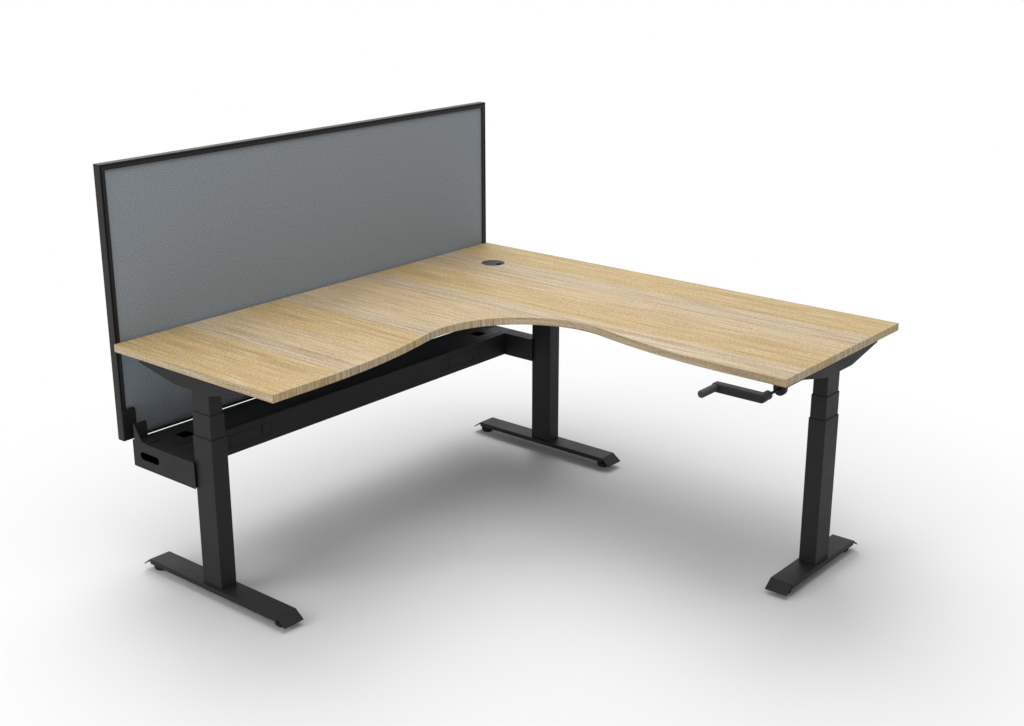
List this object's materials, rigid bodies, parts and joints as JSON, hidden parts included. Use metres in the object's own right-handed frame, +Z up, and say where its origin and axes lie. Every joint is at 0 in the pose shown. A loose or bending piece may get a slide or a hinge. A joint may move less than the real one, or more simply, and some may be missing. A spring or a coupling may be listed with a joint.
{
  "type": "height-adjustable corner desk",
  "caption": "L-shaped oak-finish worktop on telescopic steel legs raised together by a hand crank, with a cable beam and a fabric privacy screen along the back.",
  "frame": {"origin": "on the floor, under the middle of the whole desk's box", "axes": "+X along the screen to the inner corner of the L, +Y to the screen at the back, +Z up"},
  "size_m": [1.8, 1.8324, 1.333],
  "materials": {
    "oak_laminate": "pale oak laminate with a long streaked grain, satin",
    "oak_edge": "matching oak edge band, satin",
    "black_powder_coat": "fine-textured black powder coat on steel",
    "black_plastic": "moulded black plastic, matt",
    "grip_plastic": "moulded black plastic, satin",
    "bright_steel": "zinc-plated and machined steel",
    "black_aluminium": "black anodised extrusion, satin",
    "grey_fabric": "blue-grey woven upholstery cloth over a board"
  },
  "bodies": {
    "base": {"left_foot": "black_powder_coat", "corner_foot": "black_powder_coat", "right_foot": "black_powder_coat", "left_outer_tube": "black_powder_coat", "corner_outer_tube": "black_powder_coat", "right_outer_tube": "black_powder_coat", "outer_tube_collars": "black_plastic", "foot_bearings": "bright_steel", "cable_beam": "black_powder_coat", "beam_lid": "black_powder_coat", "socket_blanks": "black_powder_coat", "left_beam_arm": "black_powder_coat", "corner_beam_arm": "black_powder_coat", "screen_frame": "black_aluminium", "screen_panel": "grey_fabric", "screen_brackets": "black_powder_coat", "screen_bracket_screws": "black_powder_coat"},
    "top": {"worktop": "oak_laminate", "edge_band": "oak_edge", "grommet_sleeve": "black_plastic", "left_top_bracket": "black_powder_coat", "corner_top_bracket": "black_powder_coat", "right_top_bracket": "black_powder_coat", "left_inner_tube": "black_powder_coat", "corner_inner_tube": "black_powder_coat", "right_inner_tube": "black_powder_coat", "inner_tube_shoes": "black_plastic", "bracket_screws": "bright_steel", "gearbox_housings": "black_plastic", "crank_bearing": "black_plastic"},
    "crank": {"crank_shaft": "black_powder_coat", "crank_arm": "black_plastic", "crank_pinions": "bright_steel"},
    "grip": {"crank_grip": "grip_plastic"},
    "return_drive": {"return_shaft": "bright_steel", "return_pinions": "bright_steel"},
    "main_drive": {"main_shaft": "bright_steel", "main_pinions": "bright_steel"},
    "grommet_cap": {"grommet_cap": "black_plastic"},
    "left_middle": {"left_middle_tube": "black_powder_coat", "left_nut_post": "bright_steel"},
    "left_upper": {"left_upper_screw": "bright_steel", "left_crown_gear": "bright_steel"},
    "left_lower": {"left_lower_screw": "bright_steel"},
    "left_front_leveller": {"left_front_leveller": "black_plastic"},
    "left_back_leveller": {"left_back_leveller": "black_plastic"},
    "corner_middle": {"corner_middle_tube": "black_powder_coat", "corner_nut_post": "bright_steel"},
    "corner_upper": {"corner_upper_screw": "bright_steel", "corner_crown_gear": "bright_steel"},
    "corner_lower": {"corner_lower_screw": "bright_steel"},
    "corner_front_leveller": {"corner_front_leveller": "black_plastic"},
    "corner_back_leveller": {"corner_back_leveller": "black_plastic"},
    "right_middle": {"right_middle_tube": "black_powder_coat", "right_nut_post": "bright_steel"},
    "right_upper": {"right_upper_screw": "bright_steel", "right_crown_gear": "bright_steel"},
    "right_lower": {"right_lower_screw": "bright_steel"},
    "right_front_leveller": {"right_front_leveller": "black_plastic"},
    "right_back_leveller": {"right_back_leveller": "black_plastic"}
  },
  "joints": [
    {"name": "lift", "type": "slide", "parent": "base", "child": "top", "axis": [0, 0, 1], "range_m": [-0.11, 0.34]},
    {"name": "left_stage", "type": "slide", "parent": "base", "child": "left_middle", "axis": [0, 0, 1], "range_m": [-0.055, 0.17]},
    {"name": "left_upper_turn", "type": "hinge", "parent": "top", "child": "left_upper", "pos_m": [-0.861, 0.48325, 0.4], "axis": [0, 0, 1], "continuous": true},
    {"name": "left_lower_turn", "type": "hinge", "parent": "base", "child": "left_lower", "pos_m": [-0.861, 0.48325, 0.4], "axis": [0, 0, 1], "continuous": true},
    {"name": "left_front_level", "type": "slide", "parent": "base", "child": "left_front_leveller", "axis": [0, 0, 1], "range_m": [-0.008, 0.003]},
    {"name": "left_back_level", "type": "slide", "parent": "base", "child": "left_back_leveller", "axis": [0, 0, 1], "range_m": [-0.008, 0.003]},
    {"name": "corner_stage", "type": "slide", "parent": "base", "child": "corner_middle", "axis": [0, 0, 1], "range_m": [-0.055, 0.17]},
    {"name": "corner_upper_turn", "type": "hinge", "parent": "top", "child": "corner_upper", "pos_m": [0.788, 0.48325, 0.4], "axis": [0, 0, 1], "continuous": true},
    {"name": "corner_lower_turn", "type": "hinge", "parent": "base", "child": "corner_lower", "pos_m": [0.788, 0.48325, 0.4], "axis": [0, 0, 1], "continuous": true},
    {"name": "corner_front_level", "type": "slide", "parent": "base", "child": "corner_front_leveller", "axis": [0, 0, 1], "range_m": [-0.008, 0.003]},
    {"name": "corner_back_level", "type": "slide", "parent": "base", "child": "corner_back_leveller", "axis": [0, 0, 1], "range_m": [-0.008, 0.003]},
    {"name": "right_stage", "type": "slide", "parent": "base", "child": "right_middle", "axis": [0, 0, 1], "range_m": [-0.055, 0.17]},
    {"name": "right_upper_turn", "type": "hinge", "parent": "top", "child": "right_upper", "pos_m": [0.4915, -0.87425, 0.4], "axis": [0, 0, 1], "continuous": true},
    {"name": "right_lower_turn", "type": "hinge", "parent": "base", "child": "right_lower", "pos_m": [0.4915, -0.87425, 0.4], "axis": [0, 0, 1], "continuous": true},
    {"name": "right_front_level", "type": "slide", "parent": "base", "child": "right_front_leveller", "axis": [0, 0, 1], "range_m": [-0.008, 0.003]},
    {"name": "right_back_level", "type": "slide", "parent": "base", "child": "right_back_leveller", "axis": [0, 0, 1], "range_m": [-0.008, 0.003]},
    {"name": "crank_turn", "type": "hinge", "parent": "top", "child": "crank", "pos_m": [0.2, -0.87425, 0.7151], "axis": [1, 0, 0], "continuous": true},
    {"name": "return_turn", "type": "hinge", "parent": "top", "child": "return_drive", "pos_m": [0.4445, 0, 0.7151], "axis": [0, 1, 0], "continuous": true},
    {"name": "main_turn", "type": "hinge", "parent": "top", "child": "main_drive", "pos_m": [0, 0.48325, 0.7151], "axis": [1, 0, 0], "continuous": true},
    {"name": "grip_spin", "type": "hinge", "parent": "crank", "child": "grip", "pos_m": [0, -0.71925, 0.7151], "axis": [1, 0, 0], "continuous": true},
    {"name": "grommet_turn", "type": "hinge", "parent": "top", "child": "grommet_cap", "pos_m": [0.66, 0.64375, 0.763], "axis": [0, 0, 1], "continuous": true}
  ],
  "couplings": [
    {"joint": "left_stage", "follows": "lift", "ratio": 0.5},
    {"joint": "left_upper_turn", "follows": "lift", "rad_per_m": 785.4},
    {"joint": "left_lower_turn", "follows": "lift", "rad_per_m": 785.4},
    {"joint": "corner_stage", "follows": "lift", "ratio": 0.5},
    {"joint": "corner_upper_turn", "follows": "lift", "rad_per_m": 785.4},
    {"joint": "corner_lower_turn", "follows": "lift", "rad_per_m": 785.4},
    {"joint": "right_stage", "follows": "lift", "ratio": 0.5},
    {"joint": "right_upper_turn", "follows": "lift", "rad_per_m": 785.4},
    {"joint": "right_lower_turn", "follows": "lift", "rad_per_m": 785.4},
    {"joint": "crank_turn", "follows": "lift", "rad_per_m": -785.4},
    {"joint": "return_turn", "follows": "lift", "rad_per_m": 785.4},
    {"joint": "main_turn", "follows": "lift", "rad_per_m": 785.4}
  ]
}
